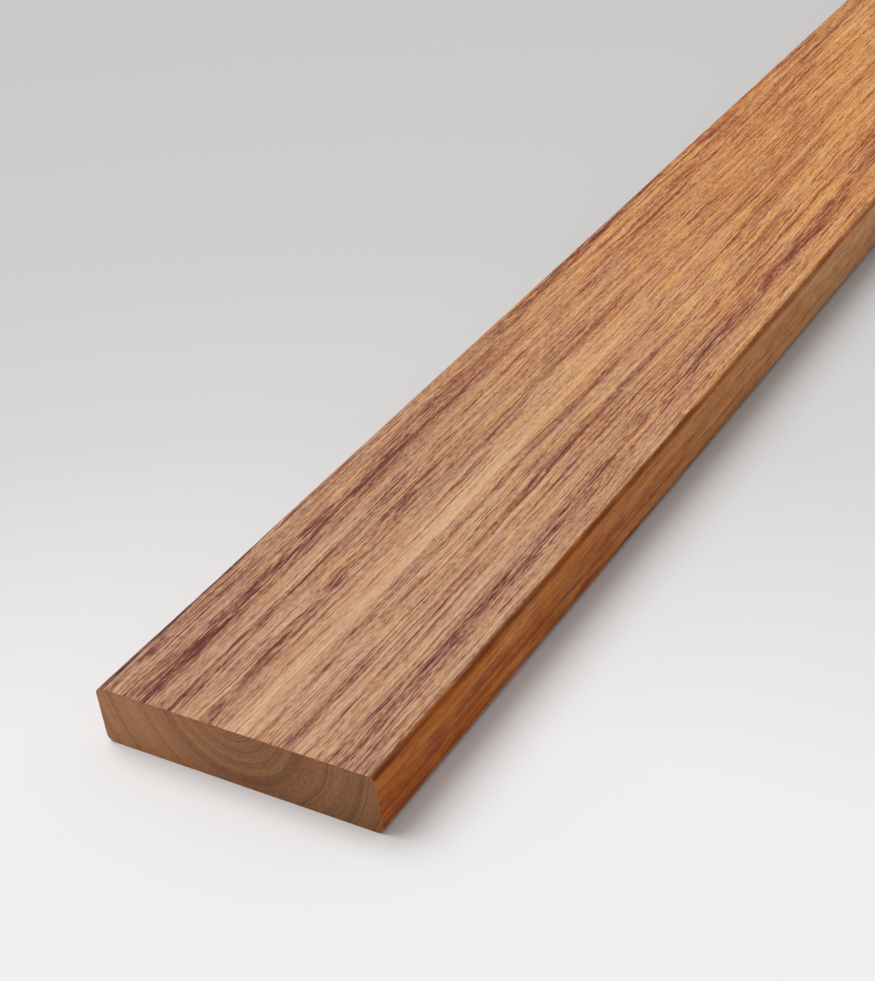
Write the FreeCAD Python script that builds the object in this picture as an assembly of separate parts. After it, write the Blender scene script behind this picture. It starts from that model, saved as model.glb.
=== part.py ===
"""A hardwood decking board: one sawn and planed piece of timber.

The board lies flat, as it is laid on its joists. Its length runs along X, its
width along Y and its thickness along Z, with the walking face up. The origin is
the middle of the underside. All sizes are in millimetres.
"""

import FreeCAD, Part
import math
import os

os.makedirs("parts", exist_ok=True)

# Sizes that the board is ordered by
BOARD_LENGTH = 1850.0
BOARD_WIDTH = 120.0
BOARD_THICKNESS = 25.0

# Rounding that the planer's cutters leave along the four long edges
WALKING_EDGE_RADIUS = 3.2
UNDERSIDE_EDGE_RADIUS = 3.2

# Each rounded edge is a quarter of a circle
QUARTER_TURN = math.radians(90.0)


def rounded_edge(side, level, radius, first_angle):
    """Quarter circle that rounds one long edge, in the plane of the near end.

    side and level say which edge it is: side is -1 for the right edge and 1 for
    the left one, level is -1 for the underside and 1 for the walking face. The
    arc starts at first_angle, measured from +Y towards +Z, and turns that way.
    """
    centre = FreeCAD.Vector(
        -BOARD_LENGTH / 2,
        side * (BOARD_WIDTH / 2 - radius),
        BOARD_THICKNESS / 2 + level * (BOARD_THICKNESS / 2 - radius),
    )
    start, middle, end = [
        centre + FreeCAD.Vector(0, radius * math.cos(angle), radius * math.sin(angle))
        for angle in (first_angle, first_angle + QUARTER_TURN / 2, first_angle + QUARTER_TURN)
    ]
    return Part.Arc(start, middle, end).toShape()


def section_outline():
    """Closed outline of the planed section: four flats joined by four rounded edges."""
    arcs = [
        rounded_edge(1, 1, WALKING_EDGE_RADIUS, 0),
        rounded_edge(-1, 1, WALKING_EDGE_RADIUS, QUARTER_TURN),
        rounded_edge(-1, -1, UNDERSIDE_EDGE_RADIUS, 2 * QUARTER_TURN),
        rounded_edge(1, -1, UNDERSIDE_EDGE_RADIUS, 3 * QUARTER_TURN),
    ]
    outline = []
    for arc, next_arc in zip(arcs, arcs[1:] + arcs[:1]):
        flat = Part.LineSegment(arc.lastVertex().Point, next_arc.firstVertex().Point)
        outline += [arc, flat.toShape()]
    return Part.Wire(outline)


def board():
    """The section run along the whole length, with both ends cut square."""
    section = Part.Face(section_outline())
    return section.extrude(FreeCAD.Vector(BOARD_LENGTH, 0, 0))


board().exportStep("parts/board.step")
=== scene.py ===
"""Looks of a hardwood decking board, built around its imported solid.

The board lies flat, with its length along X, its width along Y and its walking face up. The camera looks down
on the near sawn end, at the low X side. Lengths are in metres, and sizes that a joiner would give in
millimetres are written as a number of MM.
"""

import logging
import math
from dataclasses import dataclass, field
from enum import Enum

import bmesh
import bpy
from bpy.types import ID, Material, Node, NodeSocket, NodeTree, Object
from mathutils import Matrix, Vector


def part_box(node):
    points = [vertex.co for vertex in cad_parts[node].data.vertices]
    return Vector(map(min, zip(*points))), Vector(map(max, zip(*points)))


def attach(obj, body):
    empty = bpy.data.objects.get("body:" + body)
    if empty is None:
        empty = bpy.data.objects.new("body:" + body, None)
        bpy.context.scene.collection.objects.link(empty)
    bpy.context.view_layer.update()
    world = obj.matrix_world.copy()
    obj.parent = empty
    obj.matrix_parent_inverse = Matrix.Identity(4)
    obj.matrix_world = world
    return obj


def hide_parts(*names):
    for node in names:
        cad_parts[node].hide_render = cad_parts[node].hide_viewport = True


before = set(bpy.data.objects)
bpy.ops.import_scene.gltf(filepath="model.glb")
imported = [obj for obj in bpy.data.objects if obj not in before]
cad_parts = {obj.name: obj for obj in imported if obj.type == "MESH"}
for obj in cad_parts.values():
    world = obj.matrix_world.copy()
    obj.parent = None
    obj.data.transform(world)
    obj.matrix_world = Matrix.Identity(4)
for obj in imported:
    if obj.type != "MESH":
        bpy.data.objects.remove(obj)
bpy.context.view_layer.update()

MM = 0.001
NOISE_MEAN = 0.5
LOG = logging.getLogger("decking_board")

NodeValue = NodeSocket | float | tuple


class Axis(Enum):
    """A direction of the board: the number of its coordinate."""

    LENGTH = 0
    WIDTH = 1
    THICKNESS = 2


class Cut(Enum):
    """How a face of the board was made: the number of its finish."""

    PLANED = 0
    SAWN = 1


def linear(colour: str) -> tuple[float, float, float, float]:
    """Turns a colour written as sRGB hex into the linear values that shaders use.

    Args:
        colour: Six hex digits after a #, such as "#c8a070".

    Returns:
        Red, green, blue and an alpha of 1.
    """
    values = [int(colour[start:start + 2], 16) / 255 for start in (1, 3, 5)]
    return (*[v / 12.92 if v <= 0.04045 else ((v + 0.055) / 1.055) ** 2.4 for v in values], 1.0)


def add_node(tree: NodeTree, kind: str, inputs: dict[int | str, NodeValue], **settings: object) -> Node:
    """Adds a node with its settings, and fills its input sockets.

    Args:
        tree: The shader or geometry tree that gets the node.
        kind: The node's type name.
        inputs: A value, or the output that is linked in, for each input named by its number or name.
        settings: The node's own properties.

    Returns:
        The new node.
    """
    node = tree.nodes.new(kind)
    for name, value in settings.items():
        setattr(node, name, value)
    for key, value in inputs.items():
        if isinstance(value, NodeSocket):
            tree.links.new(value, node.inputs[key])
        else:
            node.inputs[key].default_value = value
    return node


def new_material(name: str) -> Material:
    """Makes a material whose node tree is still empty.

    Args:
        name: Its name, after the real finish.

    Returns:
        The material.
    """
    material = bpy.data.materials.new(name)
    material.use_nodes = True
    material.node_tree.nodes.clear()
    return material


def new_object(name: str, data: ID) -> Object:
    """Makes an object and links it into the scene.

    Args:
        name: The object's name.
        data: Its mesh, lamp or camera.

    Returns:
        The object.
    """
    thing = bpy.data.objects.new(name, data)
    bpy.context.scene.collection.objects.link(thing)
    return thing


@dataclass(frozen=True)
class Sheet:
    """A part of the board's skin, laid out flat as a rectangle in the map.

    Attributes:
        left: Its left side.
        bottom: Its lower side.
        width: Its width.
        height: Its height.
    """

    left: float
    bottom: float
    width: float
    height: float

    def spot(self, across: float, up: float) -> tuple[float, float]:
        """Turns shares of its width and height into a place in the map."""
        return self.left + self.width * across, self.bottom + self.height * up


LONG_FACES = Sheet(left=0.002, bottom=0.005, width=0.996, height=0.92)
NEAR_END = Sheet(left=0.01, bottom=0.94, width=0.48, height=0.055)
FAR_END = Sheet(left=0.51, bottom=0.94, width=0.48, height=0.055)


@dataclass(frozen=True)
class Section:
    """The board's cross-section: a rectangle with rounded corners.

    Attributes:
        low: Lowest corner of the board.
        high: Highest corner of the board.
        radius: Rounding of its four long edges.
    """

    low: Vector
    high: Vector
    radius: float = 3.2 * MM

    @property
    def middle(self) -> Vector:
        """The board's middle."""
        return (self.low + self.high) / 2

    @property
    def core(self) -> Vector:
        """Half sizes of the box that the rounding goes round."""
        return (self.high - self.low) / 2 - Vector((0, self.radius, self.radius))

    def outward(self, tree: NodeTree, place: NodeSocket) -> NodeSocket:
        """Works out which way the nearest long face looks.

        Args:
            tree: The shader or geometry tree.
            place: The position on the board.

        Returns:
            The direction, 1 long on the long faces and shorter inside an end's outline.
        """
        local = add_node(tree, "ShaderNodeVectorMath", {0: place, 1: self.middle}, operation="SUBTRACT")
        raised = add_node(
            tree, "ShaderNodeVectorMath", {0: local.outputs[0], 1: -self.core}, operation="MAXIMUM"
        )
        inner = add_node(
            tree, "ShaderNodeVectorMath", {0: raised.outputs[0], 1: self.core}, operation="MINIMUM"
        )
        away = add_node(
            tree, "ShaderNodeVectorMath", {0: local.outputs[0], 1: inner.outputs[0]}, operation="SUBTRACT"
        )
        return add_node(
            tree, "ShaderNodeVectorMath", {0: away.outputs[0], "Scale": 1 / self.radius}, operation="SCALE"
        ).outputs[0]

    def laid_out(self, spot: Vector, centre: Vector, cut: Cut) -> tuple[float, float]:
        """Unwraps the board: the long faces as one sheet, and the two ends above it.

        Args:
            spot: A corner of a face.
            centre: The middle of that face, which says where the sheet is cut open.
            cut: How the face was made.

        Returns:
            The corner's place in the map.
        """
        size = self.high - self.low
        across, depth = self.high.y - spot.y, self.high.z - spot.z
        if cut is Cut.SAWN:
            end = NEAR_END if spot.x < self.middle.x else FAR_END
            return end.spot(across / size.y, 1 - depth / size.z)
        if centre.z > self.middle.z:
            run = across + (depth if centre.y < self.middle.y else -depth)
        elif centre.y < self.middle.y:
            run = size.y + depth + spot.y - self.low.y
        else:
            run = size.y + size.z + (spot.y - self.low.y) + (spot.z - self.low.z)
        girth = 2 * (size.y + size.z)
        return LONG_FACES.spot((spot.x - self.low.x) / size.x, (run + size.z / 2) / girth)


@dataclass(frozen=True)
class Figure:
    """One pattern in the timber: cloudy marks drawn out along the fibres.

    Attributes:
        length: Length of its marks along the board.
        width: Their width across the board and through it.
        detail: How many finer layers are laid over it.
        start: Where in the noise it starts, so that two patterns don't fall on each other.
    """

    length: float
    width: float
    detail: float = 0.0
    start: float = 0.0

    def drawn(self, tree: NodeTree, place: NodeSocket, finest: float = 0.0) -> Node:
        """Adds the pattern to a tree.

        Args:
            tree: The shader or geometry tree.
            place: The position in the timber.
            finest: Marks narrower than this are left out.

        Returns:
            The noise node: its first output is the pattern from 0 to 1, its second the same in colour.
        """
        stretch = (1 / self.length, 1 / self.width, 1 / self.width)
        spot = add_node(
            tree,
            "ShaderNodeVectorMath",
            {0: place, 1: stretch, 2: (self.start,) * 3},
            operation="MULTIPLY_ADD",
        ).outputs[0]
        detail = self.detail if finest == 0 else min(self.detail, max(0.0, math.log2(self.width / finest)))
        return add_node(tree, "ShaderNodeTexNoise", {"Vector": spot, "Scale": 1.0, "Detail": detail})


@dataclass(frozen=True)
class Band:
    """A run of dark streaks, or of pale even wood, along the board.

    Attributes:
        offset: Its middle at the near end, measured from the board's centre line towards the left edge.
        width: How far it spreads from its middle.
        drift: How far it moves towards the left edge for each metre along the board.
        fade: How far from the near end it has faded away.
        strength: How much it darkens, where 1 is much, or how much paler it is, where negative.
    """

    offset: float
    width: float
    drift: float
    fade: float
    strength: float


@dataclass(frozen=True)
class Ring:
    """One growth ring that stands out.

    Attributes:
        radius: Its distance from the pith.
        width: How far it spreads to either side.
        lift: How much darker it is, or paler, where negative.
    """

    radius: float
    width: float
    lift: float


@dataclass(frozen=True)
class Timber:
    """The figure inside the timber, the same for the finish of every face and for the relief.

    Attributes:
        near_end: X of the sawn end that the camera sees, from which the bands are measured.
        pith: Y and Z of the tree's heart, just above the walking face.
        waves: Waves in the fibres, and how far each pushes them aside.
        shading: Patterns of the long grain, and how much each counts.
        thread: Where thin dark lines run: along the middle value of this pattern.
        thread_width: How far from that value the lines end.
        thread_lift: How much darker they are.
        wisp: Shape of the dark streaks inside the bands.
        wisp_lift: How much it counts there.
        band_lift: How much darker a band of strength 1 is.
        band_start: Share of its fading distance for which a band keeps its full strength.
        band_rest: What is left of a band where it has faded away.
        ground: How dark the wood is between the bands.
        evenness: How much of the shading and threads is left in a band of strength -1.
        liveliness: How much of them there is in a band of strength 1.
        ring_wave: Waves of the growth rings, which are nearly round.
        ring_sway: How far these push the rings aside.
        fine_ring: Distance between the faint fine rings, wider than the real half millimetre so that
            they show.
        growth: The growth rings that stand out.
        bands: The streaky bands and the pale one.
    """

    near_end: float
    pith: tuple[float, float]
    waves: tuple[tuple[Figure, float], ...] = (
        (Figure(190 * MM, 30 * MM, start=3.1), 8 * MM),
        (Figure(22 * MM, 6 * MM, start=7.7), 1.5 * MM),
        (Figure(6 * MM, 2 * MM, start=13.9), 0.35 * MM),
    )
    shading: tuple[tuple[Figure, float], ...] = (
        (Figure(140 * MM, 9 * MM, detail=1.0, start=11.3), 0.3),
        (Figure(90 * MM, 2.4 * MM, detail=1.0, start=1.9), 0.42),
        (Figure(110 * MM, 0.7 * MM, detail=1.0, start=5.2), 0.85),
        (Figure(9 * MM, 1.4 * MM, detail=1.0, start=61.7), 0.3),
        (Figure(3 * MM, 0.8 * MM, detail=1.0, start=15.8), 0.6),
    )
    thread: Figure = Figure(220 * MM, 2.4 * MM, detail=1.0, start=27.3)
    thread_width: float = 0.04
    thread_lift: float = 0.26
    wisp: Figure = Figure(15 * MM, 1.4 * MM, detail=2.0, start=21.4)
    wisp_lift: float = 1.18
    band_lift: float = 0.24
    band_start: float = 0.3
    band_rest: float = 0.15
    ground: float = 0.43
    evenness: float = 0.75
    liveliness: float = 1.0
    ring_wave: Figure = Figure(300 * MM, 20 * MM, start=34.0)
    ring_sway: float = 2 * MM
    fine_ring: float = 0.8 * MM
    growth: tuple[Ring, ...] = (
        Ring(14.5 * MM, 1.6 * MM, -0.06),
        Ring(17.2 * MM, 1.1 * MM, 0.04),
        Ring(20.2 * MM, 1.8 * MM, -0.07),
        Ring(22.5 * MM, 0.8 * MM, 0.05),
        Ring(25.5 * MM, 1.8 * MM, -0.07),
        Ring(29.4 * MM, 3.2 * MM, 0.11),
        Ring(33.1 * MM, 0.7 * MM, 0.09),
        Ring(33.9 * MM, 0.5 * MM, -0.08),
        Ring(38 * MM, 2 * MM, -0.04),
        Ring(41.1 * MM, 1.2 * MM, 0.06),
        Ring(42.4 * MM, 0.6 * MM, -0.05),
        Ring(46.2 * MM, 2 * MM, -0.08),
        Ring(55.2 * MM, 2.4 * MM, 0.09),
        Ring(60.6 * MM, 1.2 * MM, -0.03),
        Ring(63 * MM, 1.4 * MM, 0.07),
        Ring(64.2 * MM, 0.35 * MM, 0.16),
        Ring(66.4 * MM, 0.35 * MM, 0.12),
    )
    bands: tuple[Band, ...] = (
        Band(37.5 * MM, 10 * MM, 15 * MM, 0.3, 0.75),
        Band(38 * MM, 6 * MM, 46 * MM, 1.5, 0.5),
        Band(23 * MM, 1.1 * MM, 36 * MM, 3.0, 0.75),
        Band(26.5 * MM, 2 * MM, 10 * MM, 0.14, 0.7),
        Band(10 * MM, 5 * MM, 50 * MM, 0.25, 0.8),
        Band(-48 * MM, 8 * MM, 17 * MM, 1.2, 0.7),
        Band(58 * MM, 1.8 * MM, 0.0, 0.16, 1.5),
        Band(54 * MM, 9 * MM, 0.0, 0.15, 0.35),
        Band(57.5 * MM, 5 * MM, 0.0, 1.5, 0.35),
        Band(-12 * MM, 1.2 * MM, 4 * MM, 0.6, 0.7),
        Band(-24 * MM, 3 * MM, 3 * MM, 0.6, 0.5),
        Band(-32 * MM, 1.2 * MM, 3 * MM, 0.9, 0.7),
        Band(-4 * MM, 6 * MM, 0.0, 0.45, -0.9),
    )

    def swayed(self, tree: NodeTree, place: NodeSocket, wave: Figure, sway: float) -> NodeSocket:
        """Bends the straight board into one of the timber's waves.

        Args:
            tree: The shader or geometry tree.
            place: The position on the board.
            wave: How long and wide the waves are.
            sway: How far they push the fibres aside.

        Returns:
            The position in the straight-grained timber.
        """
        push = add_node(
            tree,
            "ShaderNodeVectorMath",
            {0: wave.drawn(tree, place).outputs[1], 1: (NOISE_MEAN,) * 3},
            operation="SUBTRACT",
        )
        return add_node(
            tree,
            "ShaderNodeVectorMath",
            {0: push.outputs[0], 1: (0.0, sway, sway), 2: place},
            operation="MULTIPLY_ADD",
        ).outputs[0]

    def fibres(self, tree: NodeTree, place: NodeSocket, finest: float = 0.0) -> NodeSocket:
        """Finds where the waves of the fibres have come from.

        Args:
            tree: The shader or geometry tree.
            place: The position on the board.
            finest: Waves narrower than this are left out.

        Returns:
            The position in the straight-grained timber.
        """
        for wave, sway in self.waves:
            if wave.width > finest:
                place = self.swayed(tree, place, wave, sway)
        return place

    def banding(self, tree: NodeTree, place: NodeSocket) -> NodeSocket:
        """Says how streaky the timber is, from 0 to about 1, or how pale and even, below 0.

        Args:
            tree: The shader or geometry tree.
            place: The position on the board.

        Returns:
            The sum of the bands.
        """
        axes = add_node(tree, "ShaderNodeSeparateXYZ", {0: place})
        along = add_node(
            tree, "ShaderNodeMath", {0: axes.outputs[0], 1: self.near_end}, operation="SUBTRACT"
        ).outputs[0]
        total: NodeValue = 0.0
        for band in self.bands:
            middle = add_node(
                tree, "ShaderNodeMath", {0: along, 1: band.drift, 2: band.offset}, operation="MULTIPLY_ADD"
            )
            away = add_node(
                tree, "ShaderNodeMath", {0: axes.outputs[1], 1: middle.outputs[0]}, operation="SUBTRACT"
            )
            spread = add_node(tree, "ShaderNodeMath", {0: away.outputs[0]}, operation="ABSOLUTE")
            core = add_node(
                tree,
                "ShaderNodeMapRange",
                {"Value": spread.outputs[0], 1: 0.0, 2: band.width, 3: band.strength, 4: 0.0},
                interpolation_type="SMOOTHSTEP",
            )
            kept = add_node(
                tree,
                "ShaderNodeMapRange",
                {"Value": along, 1: band.fade * self.band_start, 2: band.fade, 3: 1.0, 4: self.band_rest},
                interpolation_type="SMOOTHSTEP",
            )
            total = add_node(
                tree,
                "ShaderNodeMath",
                {0: core.outputs[0], 1: kept.outputs[0], 2: total},
                operation="MULTIPLY_ADD",
            ).outputs[0]
        return total

    def traced(
        self, tree: NodeTree, pattern: NodeSocket, level: float, width: float, lift: float
    ) -> NodeSocket:
        """Draws thin lines where a pattern passes one value.

        Args:
            tree: The shader or geometry tree.
            pattern: The pattern.
            level: The value that the lines follow.
            width: How far from that value the lines end.
            lift: Their own value, which falls to 0 at their edges.

        Returns:
            The lines' value.
        """
        away = add_node(tree, "ShaderNodeMath", {0: pattern, 1: level}, operation="SUBTRACT")
        off = add_node(tree, "ShaderNodeMath", {0: away.outputs[0]}, operation="ABSOLUTE")
        return add_node(
            tree, "ShaderNodeMapRange", {"Value": off.outputs[0], 1: 0.0, 2: width, 3: lift, 4: 0.0}
        ).outputs[0]

    def marks(self, tree: NodeTree, fibres: NodeSocket, finest: float) -> NodeSocket:
        """Adds up the clouds, strands and lines of the long grain, and its threads too in the finish.

        Args:
            tree: The shader or geometry tree.
            fibres: The position in the straight-grained timber.
            finest: Marks narrower than this are left out.

        Returns:
            How much darker the wood is than on the whole.
        """
        shading = [(figure, weight) for figure, weight in self.shading if figure.width > finest]
        total: NodeValue = -NOISE_MEAN * sum(weight for _, weight in shading)
        for figure, weight in shading:
            total = add_node(
                tree,
                "ShaderNodeMath",
                {0: figure.drawn(tree, fibres, finest).outputs[0], 1: weight, 2: total},
                operation="MULTIPLY_ADD",
            ).outputs[0]
        if finest == 0:
            pattern = self.thread.drawn(tree, fibres).outputs[0]
            threads = self.traced(tree, pattern, NOISE_MEAN, self.thread_width, self.thread_lift)
            total = add_node(tree, "ShaderNodeMath", {0: threads, 1: total}).outputs[0]
        return total

    def tone(self, tree: NodeTree, place: NodeSocket, finest: float = 0.0) -> NodeSocket:
        """Adds up the marks, bands and wisps of the long grain.

        Args:
            tree: The shader or geometry tree.
            place: The position on the board.
            finest: Marks narrower than this are left out.

        Returns:
            How dark the wood is: about 0.2 where it is pale, 0.5 on the whole and 1 in a dark streak.
        """
        fibres = self.fibres(tree, place, finest)
        marks = self.marks(tree, fibres, finest)
        banding = self.banding(tree, place)
        total = add_node(
            tree, "ShaderNodeMath", {0: banding, 1: self.band_lift, 2: self.ground}, operation="MULTIPLY_ADD"
        ).outputs[0]
        vivid = add_node(
            tree,
            "ShaderNodeMapRange",
            {"Value": banding, 1: -1.0, 2: 1.0, 3: self.evenness, 4: self.liveliness},
        )
        total = add_node(
            tree, "ShaderNodeMath", {0: marks, 1: vivid.outputs[0], 2: total}, operation="MULTIPLY_ADD"
        ).outputs[0]
        wisp = self.wisp.drawn(tree, fibres, finest).outputs[0]
        wisps = add_node(
            tree,
            "ShaderNodeMath",
            {0: wisp, 1: self.wisp_lift, 2: -NOISE_MEAN * self.wisp_lift},
            operation="MULTIPLY_ADD",
        )
        streaky = add_node(tree, "ShaderNodeMath", {0: banding, 1: 0.0}, operation="MAXIMUM")
        return add_node(
            tree,
            "ShaderNodeMath",
            {0: streaky.outputs[0], 1: wisps.outputs[0], 2: total},
            operation="MULTIPLY_ADD",
        ).outputs[0]

    def depth(self, tree: NodeTree, place: NodeSocket) -> NodeSocket:
        """Measures how far from the pith the wood grew.

        Args:
            tree: The shader or geometry tree.
            place: The position on the board.

        Returns:
            The distance, a little wavy.
        """
        wavy = self.swayed(tree, place, self.ring_wave, self.ring_sway)
        from_pith = add_node(
            tree, "ShaderNodeVectorMath", {0: wavy, 1: (0.0, *self.pith)}, operation="SUBTRACT"
        )
        flat = add_node(
            tree, "ShaderNodeVectorMath", {0: from_pith.outputs[0], 1: (0.0, 1.0, 1.0)}, operation="MULTIPLY"
        )
        return add_node(tree, "ShaderNodeVectorMath", {0: flat.outputs[0]}, operation="LENGTH").outputs[1]

    def rings(self, tree: NodeTree, depth: NodeSocket) -> NodeValue:
        """Adds up the growth rings that stand out.

        Args:
            tree: The shader or geometry tree.
            depth: The distance from the pith.

        Returns:
            How much they darken the wood.
        """
        total: NodeValue = 0.0
        for ring in self.growth:
            mark = self.traced(tree, depth, ring.radius, ring.width, ring.lift)
            total = add_node(tree, "ShaderNodeMath", {0: mark, 1: total}).outputs[0]
        return total

    def fine_rings(self, tree: NodeTree, depth: NodeSocket) -> NodeSocket:
        """Draws the faint fine rings between them.

        Args:
            tree: The shader or geometry tree.
            depth: The distance from the pith.

        Returns:
            The rings' pattern, from 0 to 1.
        """
        count = add_node(tree, "ShaderNodeMath", {0: depth, 1: self.fine_ring}, operation="DIVIDE").outputs[0]
        return add_node(
            tree, "ShaderNodeTexNoise", {"W": count, "Scale": 1.0, "Detail": 2.0}, noise_dimensions="1D"
        ).outputs[0]


@dataclass(frozen=True)
class Shades:
    """The colours that a value turns into, from pale to dark: the timber's tone, or a distance on the floor.

    Attributes:
        steps: Pairs of a value and its colour in sRGB hex, palest first.
    """

    steps: tuple[tuple[float, str], ...]

    def tinted(self, tree: NodeTree, value: NodeSocket) -> NodeValue:
        """Adds the colours to a tree.

        Args:
            tree: The shader tree.
            value: The value that they follow.

        Returns:
            The colour.
        """
        before, first = self.steps[0]
        colour: NodeValue = linear(first)
        for level, shade in self.steps[1:]:
            share = add_node(tree, "ShaderNodeMapRange", {"Value": value, 1: before, 2: level})
            colour = add_node(
                tree, "ShaderNodeMix", {0: share.outputs[0], 6: colour, 7: linear(shade)}, data_type="RGBA"
            ).outputs[2]
            before = level
        return colour


@dataclass(frozen=True)
class PlanedHardwood:
    """Tropical hardwood, planed and oiled: fine long grain with dark wisps and a soft sheen.

    The oil deepens the colour and leaves a satin gloss on the ridges, while the dark, open-pored wisps stay
    duller and lie a little lower. The right edge is a deeper orange brown, partly its own colour and partly
    painted shade, and only this side, which faces away from the lamp, gets it.

    Attributes:
        timber: The figure inside it.
        section: The board's cross-section.
        near: Colours at the near end.
        far: Colours further along the board, which are more golden.
        near_edge: Colours of the right edge at the near end, partly painted shade.
        far_edge: Colours of the right edge further along, partly painted shade.
        near_arris: Colour of the dark line above the right edge, at the near end.
        far_arris: Colour of that line further along.
        golden_after: How far from the near end the colours have turned into those further along.
        hue: Patches that turn sooner or later.
        patchiness: How much sooner or later, as a share of the turn.
        line: Where the dark line is strong or weak.
        line_steps: Values of that pattern where the line is at its weakest, and at its strongest.
        line_weakest: How strong it still is where it is weakest.
        line_foot: How far the surface looks to the right where the line starts to fade, up to 1.
        mottle: Blotches on the right edge.
        mottle_weight: How much they count there.
        grain_weight: How much the long grain counts there.
        edge_lift: How much darker the right edge is than its pattern, or paler, where negative.
        foot_lift: The same for its lower side at the near end.
        foot_length: How far from the near end that goes.
        turn: How far the surface looks to the right where the edge's colours start, and where they are full.
        turn_grain: How much the grain shifts these two.
        roughness: Roughness of the palest wood and of the dark wisps.
        reflection: How much it mirrors, where 0.5 is plain.
        bump: How strongly the bump shows.
        bump_depth: How deep it is.
    """

    timber: Timber
    section: Section
    near: Shades = Shades(
        ((0.1, "#deb58e"), (0.38, "#c69a78"), (0.55, "#ab7c60"), (0.78, "#7b473c"), (1.05, "#481f1c"))
    )
    far: Shades = Shades(
        ((0.17, "#ebb26c"), (0.38, "#d59553"), (0.53, "#bb763f"), (0.71, "#914a2b"), (0.95, "#602514"))
    )
    near_edge: Shades = Shades(
        ((0.1, "#d2820a"), (0.38, "#b96500"), (0.55, "#9b4600"), (0.78, "#732900"), (1.05, "#431500"))
    )
    far_edge: Shades = Shades(
        ((0.1, "#ecb681"), (0.38, "#d89d69"), (0.55, "#bf8453"), (0.78, "#935e3c"), (1.05, "#5c3224"))
    )
    near_arris: str = "#733000"
    far_arris: str = "#8a4800"
    golden_after: float = 0.6
    hue: Figure = Figure(50 * MM, 4 * MM, detail=2.0, start=41.0)
    patchiness: float = 0.6
    line: Figure = Figure(30 * MM, 20 * MM, detail=2.0, start=47.0)
    line_steps: tuple[float, float] = (0.4, 0.6)
    line_weakest: float = 0.65
    line_foot: float = 0.77
    mottle: Figure = Figure(14 * MM, 5 * MM, detail=3.0, start=71.0)
    mottle_weight: float = 0.46
    grain_weight: float = 0.5
    edge_lift: float = -0.05
    foot_lift: float = 0.07
    foot_length: float = 0.2
    turn: tuple[float, float] = (0.16, 0.76)
    turn_grain: float = 0.35
    roughness: tuple[float, float] = (0.42, 0.62)
    reflection: float = 0.2
    bump: float = 0.8
    bump_depth: float = 0.3 * MM

    def golden(self, tree: NodeTree, place: NodeSocket) -> NodeSocket:
        """Says how far the colours have turned into the golden ones further along the board.

        Args:
            tree: The shader tree.
            place: The position on the board.

        Returns:
            The golden colours' share.
        """
        distance = add_node(tree, "ShaderNodeSeparateXYZ", {0: place}).outputs[0]
        near_end = self.timber.near_end
        along = add_node(
            tree,
            "ShaderNodeMapRange",
            {"Value": distance, 1: near_end, 2: near_end + self.golden_after},
            interpolation_type="SMOOTHSTEP",
        ).outputs[0]
        hue = self.hue.drawn(tree, place).outputs[0]
        patch = add_node(
            tree, "ShaderNodeMapRange", {"Value": hue, 3: -self.patchiness, 4: self.patchiness}
        ).outputs[0]
        return add_node(tree, "ShaderNodeMath", {0: along, 1: patch}, use_clamp=True).outputs[0]

    def edge_tone(self, tree: NodeTree, place: NodeSocket, tone: NodeSocket) -> NodeSocket:
        """Softens the grain on the right edge, shows the growth rings there and deepens it downwards.

        Args:
            tree: The shader tree.
            place: The position on the board.
            tone: How dark the wood is.

        Returns:
            How dark the edge is.
        """
        axes = add_node(tree, "ShaderNodeSeparateXYZ", {0: place})
        start = self.timber.near_end
        end = start + self.foot_length
        foot = add_node(
            tree,
            "ShaderNodeMapRange",
            {"Value": axes.outputs[0], 1: start, 2: end, 3: self.foot_lift, 4: self.edge_lift},
        ).outputs[0]
        low, high = self.section.low.z, self.section.high.z
        sinking = add_node(
            tree,
            "ShaderNodeMapRange",
            {"Value": axes.outputs[2], 1: low, 2: high, 3: foot, 4: self.edge_lift},
        ).outputs[0]
        rings = self.timber.rings(tree, self.timber.depth(tree, place))
        total = add_node(tree, "ShaderNodeMath", {0: rings, 1: sinking}).outputs[0]
        mottle = self.mottle.drawn(tree, place).outputs[0]
        for pattern, weight in ((mottle, self.mottle_weight), (tone, self.grain_weight)):
            total = add_node(
                tree, "ShaderNodeMath", {0: pattern, 1: weight, 2: total}, operation="MULTIPLY_ADD"
            ).outputs[0]
        return total

    def arris(self, tree: NodeTree, place: NodeSocket, aside: NodeSocket) -> NodeSocket:
        """Says where the oil has gathered in a dark line along the arris, here strong and there weak.

        Args:
            tree: The shader tree.
            place: The position on the board.
            aside: How far the surface looks to the right.

        Returns:
            The line's share of the colour.
        """
        weakest, strongest = self.line_steps
        pattern = self.line.drawn(tree, place).outputs[0]
        broken = add_node(
            tree, "ShaderNodeMapRange", {"Value": pattern, 1: weakest, 2: strongest, 3: self.line_weakest}
        ).outputs[0]
        line = add_node(
            tree,
            "ShaderNodeMapRange",
            {"Value": aside, 1: self.line_foot, 2: 1.0, 3: 1.0, 4: 0.0},
            interpolation_type="SMOOTHSTEP",
        ).outputs[0]
        return add_node(tree, "ShaderNodeMath", {0: line, 1: broken}, operation="MULTIPLY").outputs[0]

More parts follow.
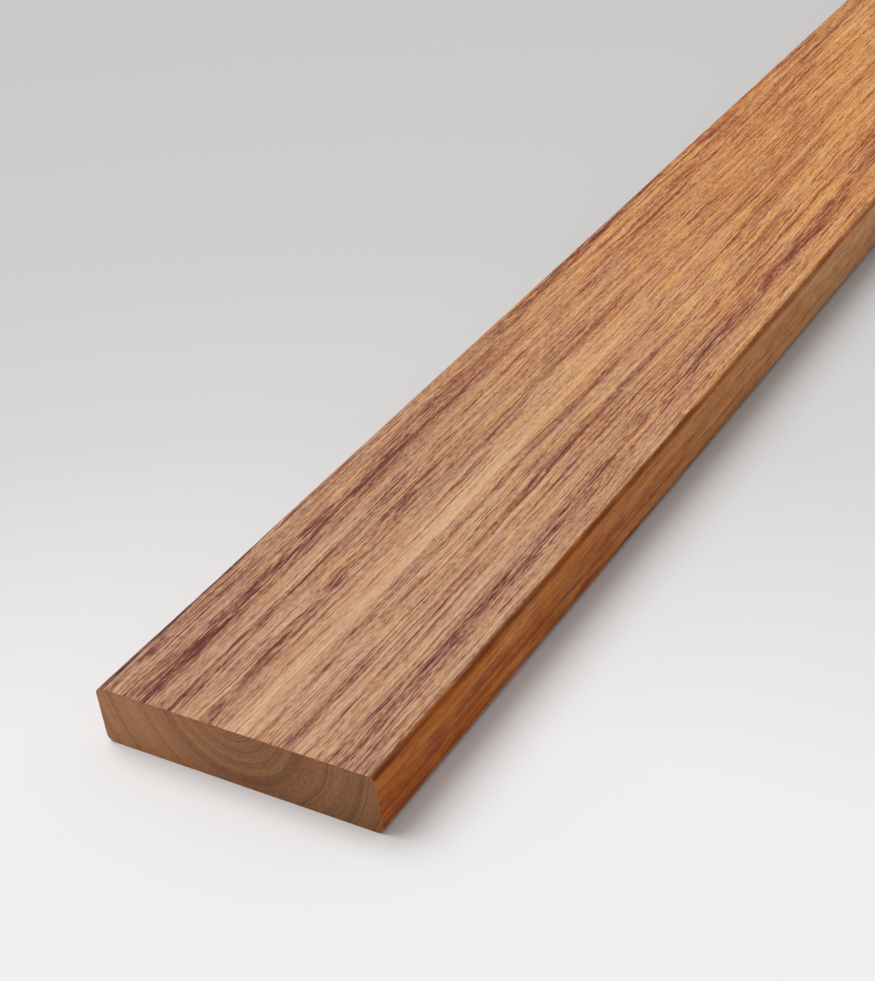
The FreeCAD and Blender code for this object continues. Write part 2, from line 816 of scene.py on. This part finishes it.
    def edge_colour(
        self, tree: NodeTree, place: NodeSocket, tone: NodeSocket, golden: NodeSocket, aside: NodeSocket
    ) -> NodeSocket:
        """Colours the right edge, with the dark line along its arris.

        Args:
            tree: The shader tree.
            place: The position on the board.
            tone: How dark the wood is.
            golden: The golden colours' share.
            aside: How far the surface looks to the right.

        Returns:
            The colour.
        """
        edge_tone = self.edge_tone(tree, place, tone)
        near, far = self.near_edge.tinted(tree, edge_tone), self.far_edge.tinted(tree, edge_tone)
        wood = add_node(tree, "ShaderNodeMix", {0: golden, 6: near, 7: far}, data_type="RGBA").outputs[2]
        near, far = linear(self.near_arris), linear(self.far_arris)
        line = add_node(tree, "ShaderNodeMix", {0: golden, 6: near, 7: far}, data_type="RGBA").outputs[2]
        share = self.arris(tree, place, aside)
        return add_node(tree, "ShaderNodeMix", {0: share, 6: wood, 7: line}, data_type="RGBA").outputs[2]

    def colour(self, tree: NodeTree, place: NodeSocket, tone: NodeSocket) -> NodeSocket:
        """Colours the long faces, and lets them turn into the right edge unevenly, as the grain does.

        Args:
            tree: The shader tree.
            place: The position on the board.
            tone: How dark the wood is.

        Returns:
            The colour.
        """
        golden = self.golden(tree, place)
        near, far = self.near.tinted(tree, tone), self.far.tinted(tree, tone)
        face = add_node(tree, "ShaderNodeMix", {0: golden, 6: near, 7: far}, data_type="RGBA").outputs[2]
        # Only the right side, which faces away from the lamp, turns to the edge's colours: partly painted
        # shade.
        left = add_node(tree, "ShaderNodeSeparateXYZ", {0: self.section.outward(tree, place)}).outputs[1]
        aside = add_node(tree, "ShaderNodeMath", {0: left, 1: -1.0}, operation="MULTIPLY").outputs[0]
        edge = self.edge_colour(tree, place, tone, golden, aside)
        uneven = add_node(
            tree, "ShaderNodeMath", {0: tone, 1: self.turn_grain, 2: aside}, operation="MULTIPLY_ADD"
        ).outputs[0]
        start, full = self.turn
        turned = add_node(
            tree, "ShaderNodeMapRange", {"Value": uneven, 1: start, 2: full}, interpolation_type="SMOOTHSTEP"
        ).outputs[0]
        return add_node(tree, "ShaderNodeMix", {0: turned, 6: face, 7: edge}, data_type="RGBA").outputs[2]

    def material(self) -> Material:
        """Builds the finish.

        Returns:
            The material of the four long faces.
        """
        material = new_material("oiled_planed_hardwood")
        tree = material.node_tree
        place = add_node(tree, "ShaderNodeTexCoord", {}).outputs["Object"]
        tone = self.timber.tone(tree, place)
        pale, dark = self.roughness
        rough = add_node(tree, "ShaderNodeMapRange", {"Value": tone, 3: pale, 4: dark}).outputs[0]
        bump = add_node(
            tree,
            "ShaderNodeBump",
            {"Height": tone, "Strength": self.bump, "Distance": self.bump_depth},
            invert=True,
        ).outputs[0]
        wood = {"Base Color": self.colour(tree, place, tone), "Roughness": rough, "Normal": bump}
        shader = add_node(tree, "ShaderNodeBsdfPrincipled", wood | {"Specular IOR Level": self.reflection})
        add_node(tree, "ShaderNodeOutputMaterial", {"Surface": shader.outputs[0]})
        return material


@dataclass(frozen=True)
class SawnEndGrain:
    """The same hardwood across the fibres, as a fine saw leaves it: dull and evenly brown.

    Growth rings show faintly, the pores are fine specks, and the oil of the long faces has crept in here and
    there round the outline. Its right part, and a little its lower edge, are darker with painted shade.

    Attributes:
        timber: The figure inside it.
        section: The board's cross-section.
        shades: Its colours.
        oiled: Colour of the wood that the oil has crept into.
        painted_shade_right: Painted shade: how much darker the right part is than the left edge.
        right_side: Y up to which that part stays as dark, before it grows paler.
        painted_shade_upper: Painted shade: how much darker the upper half is than the lower edge, or paler,
            where
        negative.
        ring_weight: How much the growth rings that stand out count.
        fine_ring_weight: How much the fine ones between them count.
        pores: The pores, drawn coarser than the real ones so that they show.
        pore_weight: How much they count.
        rim: How far out the oiled rim starts, where 1 is the outline.
        rim_share: The oil's share of the colour at the outline.
        creep: Where the oil has crept in.
        creep_steps: Values of that pattern where there is none of it, and where there is all.
        roughness: Roughness of the sawn wood.
        reflection: How much it mirrors, where 0.5 is plain.
        bump: How strongly the bump shows.
        bump_depth: How deep it is.
    """

    timber: Timber
    section: Section
    shades: Shades = Shades(((0.1, "#c38f64"), (0.4, "#a57350"), (0.6, "#8d6040"), (0.9, "#68422d")))
    oiled: str = "#a65c28"
    painted_shade_right: float = 0.26
    right_side: float = -20 * MM
    painted_shade_upper: float = -0.07
    ring_weight: float = 1.2
    fine_ring_weight: float = 0.42
    pores: Figure = Figure(1.4 * MM, 1.4 * MM, detail=2.0, start=51.0)
    pore_weight: float = 0.36
    rim: float = 0.4
    rim_share: float = 0.5
    creep: Figure = Figure(5 * MM, 5 * MM, detail=2.0, start=57.0)
    creep_steps: tuple[float, float] = (0.42, 0.62)
    roughness: float = 0.7
    reflection: float = 0.15
    bump: float = 0.5
    bump_depth: float = 0.08 * MM

    def tone(self, tree: NodeTree, place: NodeSocket) -> NodeSocket:
        """Adds up the painted shade, the rings and the pores.

        Args:
            tree: The shader tree.
            place: The position on the board.

        Returns:
            How dark the end grain is.
        """
        axes = add_node(tree, "ShaderNodeSeparateXYZ", {0: place})
        left = self.section.high.y
        # Painted shade: the right part is darker than the left edge, as if the light came from the left.
        total = add_node(
            tree,
            "ShaderNodeMapRange",
            {"Value": axes.outputs[1], 1: self.right_side, 2: left, 3: self.painted_shade_right, 4: 0.0},
            interpolation_type="SMOOTHSTEP",
        ).outputs[0]
        # Painted shade: the lower edge is darker than the upper half.
        upper = add_node(
            tree,
            "ShaderNodeMapRange",
            {"Value": axes.outputs[2], 1: self.section.low.z, 2: self.section.middle.z},
        ).outputs[0]
        depth = self.timber.depth(tree, place)
        patterns = (
            (upper, self.painted_shade_upper),
            (self.timber.rings(tree, depth), self.ring_weight),
            (self.timber.fine_rings(tree, depth), self.fine_ring_weight),
            (self.pores.drawn(tree, place).outputs[0], self.pore_weight),
        )
        for pattern, weight in patterns:
            total = add_node(
                tree, "ShaderNodeMath", {0: pattern, 1: weight, 2: total}, operation="MULTIPLY_ADD"
            ).outputs[0]
        return total

    def crept(self, tree: NodeTree, place: NodeSocket) -> NodeSocket:
        """Says where the oil has crept in round the outline.

        Args:
            tree: The shader tree.
            place: The position on the board.

        Returns:
            The oiled wood's share of the colour.
        """
        outward = self.section.outward(tree, place)
        reach = add_node(tree, "ShaderNodeVectorMath", {0: outward}, operation="LENGTH").outputs[1]
        edge = add_node(
            tree, "ShaderNodeMapRange", {"Value": reach, 1: self.rim, 2: 1.0, 3: 0.0, 4: self.rim_share}
        ).outputs[0]
        none, full = self.creep_steps
        pattern = self.creep.drawn(tree, place).outputs[0]
        patches = add_node(tree, "ShaderNodeMapRange", {"Value": pattern, 1: none, 2: full}).outputs[0]
        return add_node(tree, "ShaderNodeMath", {0: edge, 1: patches}, operation="MULTIPLY").outputs[0]

    def material(self) -> Material:
        """Builds the finish.

        Returns:
            The material of the two sawn ends.
        """
        material = new_material("sawn_end_grain")
        tree = material.node_tree
        place = add_node(tree, "ShaderNodeTexCoord", {}).outputs["Object"]
        tone = self.tone(tree, place)
        colours = {0: self.crept(tree, place), 6: self.shades.tinted(tree, tone), 7: linear(self.oiled)}
        colour = add_node(tree, "ShaderNodeMix", colours, data_type="RGBA").outputs[2]
        bump = add_node(
            tree,
            "ShaderNodeBump",
            {"Height": tone, "Strength": self.bump, "Distance": self.bump_depth},
            invert=True,
        ).outputs[0]
        wood = {"Base Color": colour, "Roughness": self.roughness, "Normal": bump}
        shader = add_node(tree, "ShaderNodeBsdfPrincipled", wood | {"Specular IOR Level": self.reflection})
        add_node(tree, "ShaderNodeOutputMaterial", {"Surface": shader.outputs[0]})
        return material


@dataclass(frozen=True)
class Relief:
    """The grain that can be felt: dark soft streaks lie lower than the hard pale wood between them.

    Attributes:
        timber: The figure that it follows.
        section: The board's cross-section.
        depth: How deep the darkest streaks lie.
        level: Tone of the wood that is level with the long faces: what is darker lies lower.
        end_depth: How deep the soft rings lie in the sawn ends.
        end_levels: How dark the rings are that are level with an end, and those that lie lowest.
        end_rim: How far out the rings still have their full depth, where 1 is the outline.
        finest: Marks narrower than this are left to the finish.
    """

    timber: Timber
    section: Section
    depth: float = 0.24 * MM
    level: float = 0.45
    end_depth: float = 0.1 * MM
    end_levels: tuple[float, float] = (-0.05, 0.1)
    end_rim: float = 0.5
    finest: float = 1.5 * MM

    def streaks(self, tree: NodeTree, place: NodeSocket, outward: NodeSocket) -> NodeSocket:
        """Lowers the dark streaks into the long faces.

        Args:
            tree: The geometry tree.
            place: The position on the board.
            outward: Which way the nearest long face looks.

        Returns:
            The move, inwards.
        """
        tone = self.timber.tone(tree, place, self.finest)
        sunk = add_node(
            tree, "ShaderNodeMapRange", {"Value": tone, 1: self.level, 2: 1.0, 3: 0.0, 4: -self.depth}
        ).outputs[0]
        return add_node(
            tree, "ShaderNodeVectorMath", {0: outward, "Scale": sunk}, operation="SCALE"
        ).outputs[0]

    def soft_rings(self, tree: NodeTree, place: NodeSocket, outward: NodeSocket) -> NodeSocket:
        """Works out how deep the soft rings lie in the sawn ends.

        Args:
            tree: The geometry tree.
            place: The position on the board.
            outward: Which way the nearest long face looks, shorter than 1 inside an end's outline.

        Returns:
            An arrow as long as they are deep, which points out of the end.
        """
        rings = self.timber.rings(tree, self.timber.depth(tree, place))
        level, lowest = self.end_levels
        hollow = add_node(
            tree, "ShaderNodeMapRange", {"Value": rings, 1: level, 2: lowest, 3: 0.0, 4: self.end_depth}
        ).outputs[0]
        reach = add_node(tree, "ShaderNodeVectorMath", {0: outward}, operation="LENGTH").outputs[1]
        inside = add_node(
            tree, "ShaderNodeMapRange", {"Value": reach, 1: 1.0, 2: self.end_rim, 3: 0.0, 4: 1.0}
        ).outputs[0]
        shallow = add_node(tree, "ShaderNodeMath", {0: hollow, 1: inside}, operation="MULTIPLY").outputs[0]
        along = add_node(tree, "ShaderNodeSeparateXYZ", {0: place}).outputs[0]
        side = add_node(tree, "ShaderNodeMath", {0: along, 1: self.section.middle.x}, operation="SUBTRACT")
        turn = add_node(tree, "ShaderNodeMath", {0: side.outputs[0]}, operation="SIGN").outputs[0]
        below = add_node(tree, "ShaderNodeMath", {0: shallow, 1: turn}, operation="MULTIPLY").outputs[0]
        return add_node(tree, "ShaderNodeCombineXYZ", {0: below}).outputs[0]

    def nodes(self) -> NodeTree:
        """Builds the geometry nodes that press the grain into the board, never outwards.

        Returns:
            The node tree.
        """
        tree = bpy.data.node_groups.new("grain_relief", "GeometryNodeTree")
        for direction in ("INPUT", "OUTPUT"):
            tree.interface.new_socket("Geometry", in_out=direction, socket_type="NodeSocketGeometry")
        block = add_node(tree, "NodeGroupInput", {}).outputs[0]
        place = add_node(tree, "GeometryNodeInputPosition", {}).outputs[0]
        outward = self.section.outward(tree, place)
        moves = {0: self.streaks(tree, place, outward), 1: self.soft_rings(tree, place, outward)}
        move = add_node(tree, "ShaderNodeVectorMath", moves, operation="SUBTRACT").outputs[0]
        pressed = add_node(tree, "GeometryNodeSetPosition", {"Geometry": block, "Offset": move})
        add_node(tree, "NodeGroupOutput", {0: pressed.outputs[0]})
        return tree

    def press(self, board: Object) -> None:
        """Presses the grain into the board's mesh.

        Args:
            board: The board, whose mesh is replaced.
        """
        modifier = board.modifiers.new("grain_relief", "NODES")
        modifier.node_group = self.nodes()
        whole = board.evaluated_get(bpy.context.evaluated_depsgraph_get())
        pressed = bpy.data.meshes.new_from_object(whole)
        board.modifiers.remove(modifier)
        board.data = pressed


@dataclass
class DeckingBoard:
    """The board: one piece of hardwood with four planed faces and two sawn ends.

    Attributes:
        section: Its cross-section.
        pith_side: Y of the tree's heart.
        pith_height: How far the tree's heart was above the walking face.
        edge_segments: Steps in each rounded edge.
        strip: Width of the mesh's strips, which carry the relief across the grain.
        row: Length of the mesh's rows, along the grain.
        mesh: The mesh while it is shaped.
    """

    section: Section
    pith_side: float = -0.5 * MM
    pith_height: float = 8 * MM
    edge_segments: int = 8
    strip: float = 0.75 * MM
    row: float = 8.8 * MM
    mesh: bmesh.types.BMesh = field(default_factory=bmesh.new)

    def runs_along(self, edge: bmesh.types.BMEdge, axis: Axis) -> bool:
        """Says whether an edge of the mesh runs straight along one direction of the board."""
        run = edge.verts[1].co - edge.verts[0].co
        return math.isclose(abs(run[axis.value]), run.length, rel_tol=0.001)

    def divide(self, axis: Axis, step: float) -> None:
        """Cuts the long edges that run along one direction into equal steps.

        Args:
            axis: The direction.
            step: The length of a step.
        """
        radius = self.section.radius
        edges = [e for e in self.mesh.edges if self.runs_along(e, axis) and e.calc_length() > radius]
        cuts = round(edges[0].calc_length() / step) - 1
        bmesh.ops.subdivide_edges(self.mesh, edges=edges, cuts=cuts, use_grid_fill=True)

    def shape_block(self) -> None:
        """Cuts the block to size, rounds its long edges and divides its faces finely enough for relief."""
        size = self.section.high - self.section.low
        bmesh.ops.create_cube(self.mesh, size=1.0)
        bmesh.ops.scale(self.mesh, vec=size, verts=self.mesh.verts)
        bmesh.ops.translate(self.mesh, vec=self.section.middle, verts=self.mesh.verts)
        bmesh.ops.bevel(
            self.mesh,
            geom=[e for e in self.mesh.edges if self.runs_along(e, Axis.LENGTH)],
            offset=self.section.radius,
            offset_type="OFFSET",
            segments=self.edge_segments,
            profile=0.5,
            affect="EDGES",
            material=-1,
        )
        ends = [f for f in self.mesh.faces if abs(f.normal.x) > 0.5]
        bmesh.ops.delete(self.mesh, geom=ends, context="FACES_ONLY")
        self.divide(Axis.WIDTH, self.strip)
        self.divide(Axis.THICKNESS, self.strip)
        self.divide(Axis.LENGTH, self.row)

    def close_ends(self) -> None:
        """Fills both sawn ends with a grid between the upper and lower halves of their outline."""
        middle, core = self.section.middle, self.section.core
        for side in (-1, 1):
            chains = []
            for edge in self.mesh.edges:
                at = (edge.verts[0].co + edge.verts[1].co) / 2 - middle
                if edge.is_boundary and at.x * side > 0 and abs(at.z) - core.z > abs(at.y) - core.y:
                    chains.append(edge)
            for face in bmesh.ops.grid_fill(self.mesh, edges=chains)["faces"]:
                face.material_index = Cut.SAWN.value
        bmesh.ops.recalc_face_normals(self.mesh, faces=self.mesh.faces)

    def finish_mesh(self) -> None:
        """Smooths the shading up to the sawn ends' crisp outline, and unwraps the board."""
        chart = self.mesh.loops.layers.uv.new("OFBake")
        for face in self.mesh.faces:
            face.smooth = True
            centre, cut = face.calc_center_median(), Cut(face.material_index)
            for corner in face.loops:
                corner[chart].uv = self.section.laid_out(corner.vert.co, centre, cut)
        for edge in self.mesh.edges:
            edge.smooth = len({face.material_index for face in edge.link_faces}) == 1

    def piece(self) -> Object:
        """Turns the shaped mesh into the board's object.

        Returns:
            The object, in the scene.
        """
        data = bpy.data.meshes.new("hardwood_board")
        self.mesh.to_mesh(data)
        self.mesh.free()
        return new_object("hardwood_board", data)

    def build(self) -> Object:
        """Makes and dresses the board.

        Returns:
            The finished object.
        """
        self.shape_block()
        self.close_ends()
        self.finish_mesh()
        board = self.piece()
        pith = (self.pith_side, self.section.high.z + self.pith_height)
        timber = Timber(self.section.low.x, pith)
        # The finishes come in the order of their numbers in Cut.
        board.data.materials.append(PlanedHardwood(timber, self.section).material())
        board.data.materials.append(SawnEndGrain(timber, self.section).material())
        Relief(timber, self.section).press(board)
        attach(board, "root")
        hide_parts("board")
        return board


@dataclass
class Studio:
    """Pale floor, soft light from above and the camera at the photograph's angle.

    Attributes:
        floor_width: Width of the square floor.
        painted_light_pool: Middle of the floor's painted pool of light, its palest part, in front of the
            board's near end.
        tints: The floor's colour by the distance from there, which paints the pool of light fading to grey.
        world_strength: How strongly the surround lights the board and the floor.
        seen_strength: How light the surround looks, which is the far floor's own grey.
        lamp_place: Where the lamp stands, as seen from the board: only the direction counts.
        lamp_strength: How bright the lamp is.
        lamp_spread: How wide the lamp looks from the board in degrees, which softens the shadows.
        paper_roughness: Roughness of the floor's paper.
        paper_reflection: How much it mirrors, where 0.5 is plain.
        camera_place: Where the camera stands.
        camera_aim: The place on the floor that it looks at.
        camera_roll: How far it is tilted sideways, in degrees.
        camera_lens: Its focal length in millimetres.
        camera_sensor: Width of its sensor in millimetres.
        camera_clip: What is nearer than this isn't drawn.
    """

    floor_width: float = 60.0
    painted_light_pool: tuple[float, float, float] = (-1.275, -0.15, 0.0)
    tints: Shades = Shades(
        (
            (0.3, "#f0f0f0"),
            (0.42, "#efefef"),
            (0.52, "#e4e4e4"),
            (0.62, "#d8d8d8"),
            (0.8, "#cfcfcf"),
            (1.1, "#cacaca"),
            (1.6, "#c6c6c6"),
            (3.0, "#c4c4c4"),
        )
    )
    world_strength: float = 0.46
    seen_strength: float = 0.555
    lamp_place: tuple[float, float, float] = (0.1, 1.6, 2.6)
    lamp_strength: float = 2.0
    lamp_spread: float = 45.0
    paper_roughness: float = 0.9
    paper_reflection: float = 0.1
    camera_place: Vector = Vector((-1293.3, -359.0, 436.15)) * MM
    camera_aim: Vector = Vector((-736.95, 32.6, 0.0)) * MM
    camera_roll: float = 7.4825
    camera_lens: float = 69.70
    camera_sensor: float = 36.0
    camera_clip: float = 10 * MM

    def paper(self) -> Material:
        """Builds the floor's matt paper, palest at the board's near end and grey further off.

        It mirrors next to nothing, so that the eye sees a plain ground with a painted pool of light and the
        board's soft shadow.

        Returns:
            The material.
        """
        material = new_material("matt_studio_paper")
        tree = material.node_tree
        place = add_node(tree, "ShaderNodeTexCoord", {}).outputs["Object"]
        # Painted pool of light: palest round the spot before the board's near end, greyer further off.
        away = add_node(
            tree, "ShaderNodeVectorMath", {0: place, 1: self.painted_light_pool}, operation="DISTANCE"
        ).outputs[1]
        paper = {"Base Color": self.tints.tinted(tree, away), "Roughness": self.paper_roughness}
        shader = add_node(
            tree, "ShaderNodeBsdfPrincipled", paper | {"Specular IOR Level": self.paper_reflection}
        )
        add_node(tree, "ShaderNodeOutputMaterial", {"Surface": shader.outputs[0]})
        return material

    def floor(self) -> Object:
        """Lays the floor.

        Returns:
            The floor, marked as stage.
        """
        mesh = bmesh.new()
        bmesh.ops.create_grid(mesh, x_segments=1, y_segments=1, size=self.floor_width / 2)
        data = bpy.data.meshes.new("floor")
        mesh.to_mesh(data)
        mesh.free()
        floor = new_object("floor", data)
        data.materials.append(self.paper())
        return floor

    def lamp(self) -> Object:
        """Hangs one broad soft lamp above the board's left side, which lights the whole floor evenly.

        Returns:
            The lamp.
        """
        data = bpy.data.lights.new("broad_lamp", "SUN")
        data.angle = math.radians(self.lamp_spread)
        data.energy = self.lamp_strength
        lamp = new_object("broad_lamp", data)
        lamp.location = self.lamp_place
        lamp.rotation_euler = (-lamp.location).to_track_quat("-Z", "Y").to_euler()
        return lamp

    def light(self) -> None:
        """Lights the board evenly, with a pale surround and one broad lamp."""
        world = bpy.data.worlds.new("studio_surround")
        world.use_nodes = True
        tree = world.node_tree
        tree.nodes.clear()
        # The camera and mirroring surfaces see the surround in the far floor's grey, which hides its rim.
        rays = add_node(tree, "ShaderNodeLightPath", {})
        seen = rays.outputs["Is Camera Ray"]
        for kind in ("Is Glossy Ray", "Is Transmission Ray"):
            seen = add_node(
                tree, "ShaderNodeMath", {0: seen, 1: rays.outputs[kind]}, operation="MAXIMUM"
            ).outputs[0]
        strength = add_node(
            tree, "ShaderNodeMapRange", {"Value": seen, 3: self.world_strength, 4: self.seen_strength}
        ).outputs[0]
        background = add_node(
            tree, "ShaderNodeBackground", {"Color": (1.0, 1.0, 1.0, 1.0), "Strength": strength}
        )
        add_node(tree, "ShaderNodeOutputWorld", {"Surface": background.outputs[0]})
        bpy.context.scene.world = world
        self.lamp()

    def camera(self) -> Object:
        """Sets up the camera.

        Returns:
            The camera, which is also made the scene's own.
        """
        data = bpy.data.cameras.new("camera")
        data.lens = self.camera_lens
        data.sensor_width = self.camera_sensor
        data.clip_start = self.camera_clip
        camera = new_object("camera", data)
        look = (self.camera_aim - self.camera_place).normalized()
        turn = look.to_track_quat("-Z", "Y").to_matrix().to_4x4()
        roll = Matrix.Rotation(math.radians(-self.camera_roll), 4, "Z")
        camera.matrix_world = Matrix.Translation(self.camera_place) @ turn @ roll
        bpy.context.scene.camera = camera
        return camera

    def build(self) -> None:
        """Sets up floor, light and camera."""
        self.floor()
        self.light()
        self.camera()
        bpy.context.scene.view_settings.view_transform = "Standard"


def main() -> None:
    """Builds the studio and the board, and reports the board's number of faces."""
    logging.basicConfig(level=logging.INFO, format="%(name)s: %(message)s")
    Studio().build()
    low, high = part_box("board")
    board = DeckingBoard(Section(low, high)).build()
    LOG.info("%s: %d faces", board.name, len(board.data.polygons))


if __name__ == "__main__":
    main()
